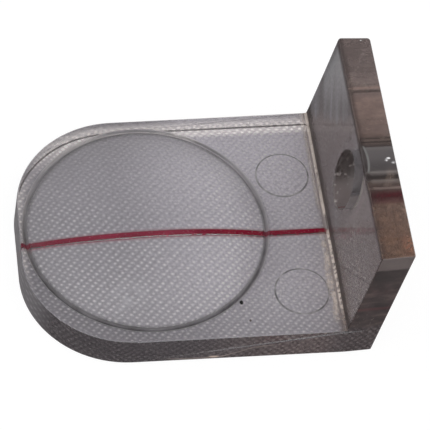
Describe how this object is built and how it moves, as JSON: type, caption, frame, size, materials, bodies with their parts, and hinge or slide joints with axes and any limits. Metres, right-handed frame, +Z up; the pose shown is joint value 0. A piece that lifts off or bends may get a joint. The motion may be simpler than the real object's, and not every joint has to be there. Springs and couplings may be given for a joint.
{
  "type": "magnifying hairline cursor",
  "caption": "Clear moulded cursor: flat plate with a rounded tip, raised plano-convex lens, red hairline along the underside and an upright flange with a screw hole.",
  "frame": {"origin": "on the underside, directly below the centre of the lens", "axes": "+X along the hairline from the rounded tip towards the flange, +Z up through the lens, +Y across the hairline"},
  "size_m": [0.0361, 0.0284, 0.0128],
  "materials": {
    "clear_plastic": "clear moulded acrylic, polished upper faces, fine dot stipple on the underside",
    "red_paint": "matt crimson filling paint"
  },
  "bodies": {
    "root": {"cursor_body": "clear_plastic", "hairline_fill": "red_paint"}
  },
  "joints": []
}
